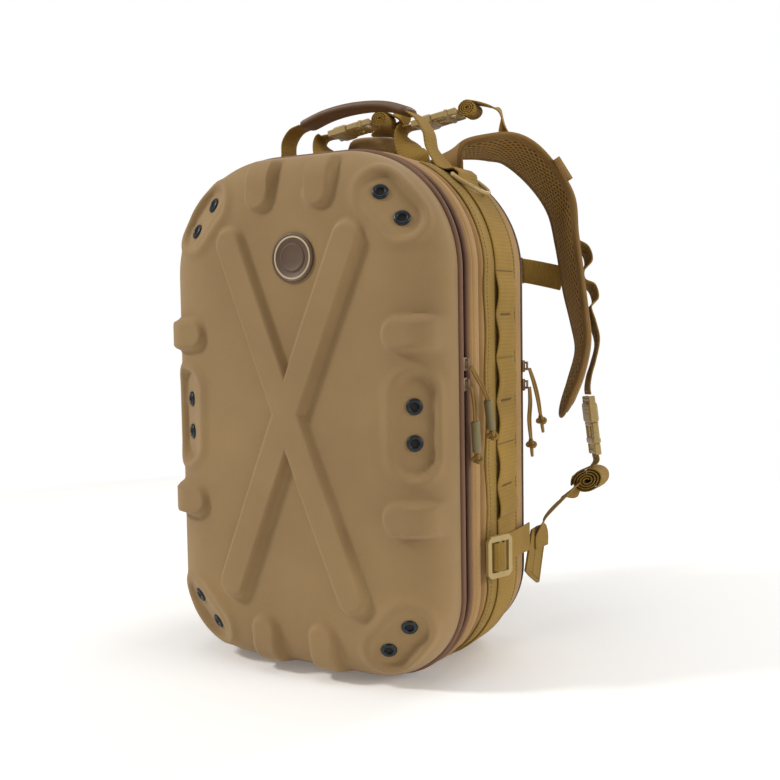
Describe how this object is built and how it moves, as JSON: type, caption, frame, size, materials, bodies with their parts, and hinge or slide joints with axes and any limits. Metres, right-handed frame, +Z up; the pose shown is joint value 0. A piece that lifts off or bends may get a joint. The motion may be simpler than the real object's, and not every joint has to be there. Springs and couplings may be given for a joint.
{
  "type": "hard shell backpack",
  "caption": "Backpack with a moulded front shell, cloth body, padded back, shoulder straps, chest strap, carry handle and looped side webbing.",
  "frame": {"origin": "on the ground, under the middle of the body, on its flat base", "axes": "+Z up, along the height; -Y out of the moulded shell; +Y towards the wearer; +X to the right as the shell is looked at"},
  "size_m": [0.3622, 0.3034, 0.5193],
  "materials": {
    "shell": "moulded cloth, matte",
    "fabric": "woven, matte",
    "webbing": "ribbed, matte",
    "piping": "smooth, satin",
    "zipper": "coil under tape, satin",
    "plastic": "moulded, satin",
    "grip": "smooth, satin",
    "gunmetal": "satin",
    "patch": "moulded, satin",
    "mesh": "spacer mesh, matte",
    "sleeve": "satin",
    "cord": "braided, matte",
    "slider": "satin"
  },
  "bodies": {
    "root": {"front_shell": "shell", "badge": "patch", "inner_piping": "piping", "front_zipper": "zipper", "outer_piping": "piping", "body": "fabric", "rear_zipper": "zipper", "back_panel": "mesh", "handle_grip": "grip", "label_tab": "fabric", "chest_strap": "webbing", "grommet_01": "gunmetal", "grommet_02": "gunmetal", "grommet_03": "gunmetal", "grommet_04": "gunmetal", "grommet_05": "gunmetal", "grommet_06": "gunmetal", "grommet_07": "gunmetal", "grommet_08": "gunmetal", "grommet_09": "gunmetal", "grommet_10": "gunmetal", "grommet_11": "gunmetal", "grommet_12": "gunmetal", "side_band_left": "fabric", "side_webbing_left": "webbing", "triglide_left": "plastic", "shoulder_strap_left": "mesh", "lifter_strap_left": "webbing", "lifter_buckle_left": "plastic", "lifter_roll_left": "webbing", "strap_web_left": "webbing", "low_buckle_left": "plastic", "low_strap_left": "webbing", "low_webbing_left": "webbing", "side_band_right": "fabric", "side_webbing_right": "webbing", "triglide_right": "plastic", "shoulder_strap_right": "mesh", "lifter_strap_right": "webbing", "lifter_buckle_right": "plastic", "lifter_roll_right": "webbing", "strap_web_right": "webbing", "low_buckle_right": "plastic", "low_strap_right": "webbing", "low_webbing_right": "webbing", "slider_front_upper": "slider", "pull_cord_front_upper": "cord", "pull_end_front_upper": "sleeve", "slider_front_lower": "slider", "pull_cord_front_lower": "cord", "pull_end_front_lower": "sleeve", "slider_rear_upper": "slider", "pull_cord_rear_upper": "cord", "pull_end_rear_upper": "cord", "slider_rear_lower": "slider", "pull_cord_rear_lower": "cord", "pull_end_rear_lower": "cord"},
    "ring_left": {"d_ring_left": "plastic"},
    "ring_right": {"d_ring_right": "plastic"}
  },
  "joints": [
    {"name": "ring_hinge_left", "type": "hinge", "parent": "root", "child": "ring_left", "pos_m": [-0.10677, 0.019, 0.43824], "axis": [0, 1, 0], "range_deg": [0, 150]},
    {"name": "ring_hinge_right", "type": "hinge", "parent": "root", "child": "ring_right", "pos_m": [0.10677, 0.019, 0.43824], "axis": [0, -1, 0], "range_deg": [0, 150]}
  ]
}
